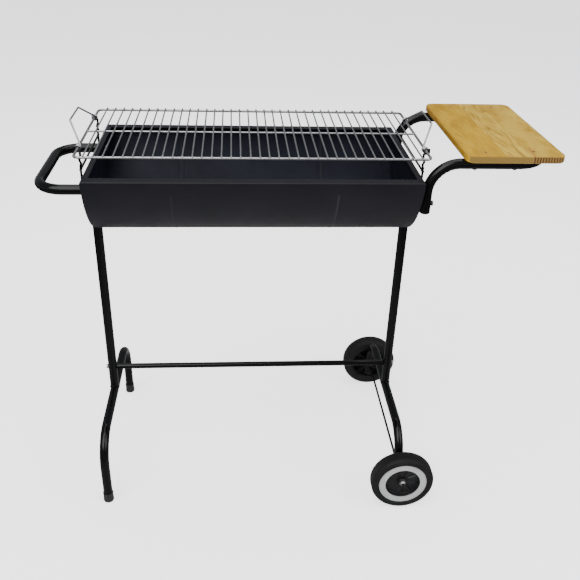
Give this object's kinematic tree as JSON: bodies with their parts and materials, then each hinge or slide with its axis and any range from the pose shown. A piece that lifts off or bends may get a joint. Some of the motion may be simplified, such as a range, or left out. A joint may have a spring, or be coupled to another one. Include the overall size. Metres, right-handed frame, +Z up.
{
  "type": "charcoal barbecue trolley",
  "caption": "Half-barrel charcoal barbecue with a wire cooking grate, on a tube trolley with wheels, a push handle and a wooden side shelf.",
  "frame": {"origin": "on the floor, under the middle of the whole object's box", "axes": "+X along the trough towards the side shelf and the wheels, -Y towards the cook at the front, +Z up"},
  "size_m": [1.1024, 0.556, 0.9168],
  "materials": {
    "trough_paint": "heat-resistant satin black paint",
    "tube_paint": "gloss black paint",
    "black_plastic": "moulded black plastic",
    "hub_plastic": "moulded black plastic, fine satin",
    "ring_plastic": "silver-grey plastic, satin",
    "tyre_rubber": "smooth dark rubber",
    "zinc_fasteners": "bright zinc plate",
    "chrome_wire": "polished chrome plate",
    "pine_board": "clear-varnished honey pine",
    "axle_steel": "blackened steel"
  },
  "bodies": {
    "cart": {"axle": "axle_steel", "axle_nut_back": "zinc_fasteners", "axle_nut_front": "zinc_fasteners", "axle_plug_back": "black_plastic", "axle_plug_front": "black_plastic", "bracket_bolt_back": "zinc_fasteners", "bracket_bolt_front": "zinc_fasteners", "bracket_plug_back": "black_plastic", "bracket_plug_front": "black_plastic", "end_plate_left": "trough_paint", "end_plate_right": "trough_paint", "foot_cap_back": "black_plastic", "foot_cap_front": "black_plastic", "foot_tube_left": "tube_paint", "foot_tube_right": "tube_paint", "handle_bolt_back": "zinc_fasteners", "handle_bolt_front": "zinc_fasteners", "height_rack_left": "tube_paint", "height_rack_right": "tube_paint", "push_handle": "tube_paint", "rack_screw_left_back": "zinc_fasteners", "rack_screw_left_front": "zinc_fasteners", "rack_screw_right_back": "zinc_fasteners", "rack_screw_right_front": "zinc_fasteners", "shelf_board": "pine_board", "shelf_bracket": "tube_paint", "shelf_screw_back_inner": "zinc_fasteners", "shelf_screw_back_outer": "zinc_fasteners", "shelf_screw_front_inner": "zinc_fasteners", "shelf_screw_front_outer": "zinc_fasteners", "stiffener_left": "trough_paint", "stiffener_right": "trough_paint", "stretcher": "tube_paint", "stretcher_bolt_left": "zinc_fasteners", "stretcher_bolt_right": "zinc_fasteners", "trough_shell": "trough_paint", "upright_bolt_left_lower": "zinc_fasteners", "upright_bolt_left_upper": "zinc_fasteners", "upright_bolt_right_lower": "zinc_fasteners", "upright_bolt_right_upper": "zinc_fasteners", "upright_left": "tube_paint", "upright_plug_left": "black_plastic", "upright_plug_right": "black_plastic", "upright_right": "tube_paint", "wheel_spacer_back": "black_plastic", "wheel_spacer_front": "black_plastic", "wheel_washer_back": "zinc_fasteners", "wheel_washer_front": "zinc_fasteners"},
    "wheel_front": {"wheel_hub_front": "hub_plastic", "tyre_front": "tyre_rubber", "trim_ring_front": "ring_plastic"},
    "wheel_back": {"wheel_hub_back": "hub_plastic", "tyre_back": "tyre_rubber", "trim_ring_back": "ring_plastic"},
    "grate": {"cooking_grate": "chrome_wire"},
    "handle_left": {"grate_handle_left": "chrome_wire"},
    "handle_right": {"grate_handle_right": "chrome_wire"}
  },
  "joints": [
    {"name": "wheel_front_spin", "type": "hinge", "parent": "cart", "child": "wheel_front", "pos_m": [0.28175, -0.258, 0.0775], "axis": [0, 1, 0], "continuous": true},
    {"name": "wheel_back_spin", "type": "hinge", "parent": "cart", "child": "wheel_back", "pos_m": [0.28175, 0.258, 0.0775], "axis": [0, 1, 0], "continuous": true},
    {"name": "grate_lift", "type": "slide", "parent": "cart", "child": "grate", "axis": [0, 0, 1], "range_m": [0, 0.2]},
    {"name": "handle_left_swing", "type": "hinge", "parent": "grate", "child": "handle_left", "pos_m": [-0.44695, 0, 0.8755], "axis": [0, 1, 0], "range_deg": [-75, 83]},
    {"name": "handle_right_swing", "type": "hinge", "parent": "grate", "child": "handle_right", "pos_m": [0.27745, 0, 0.8755], "axis": [0, 1, 0], "range_deg": [-83, 75]}
  ]
}
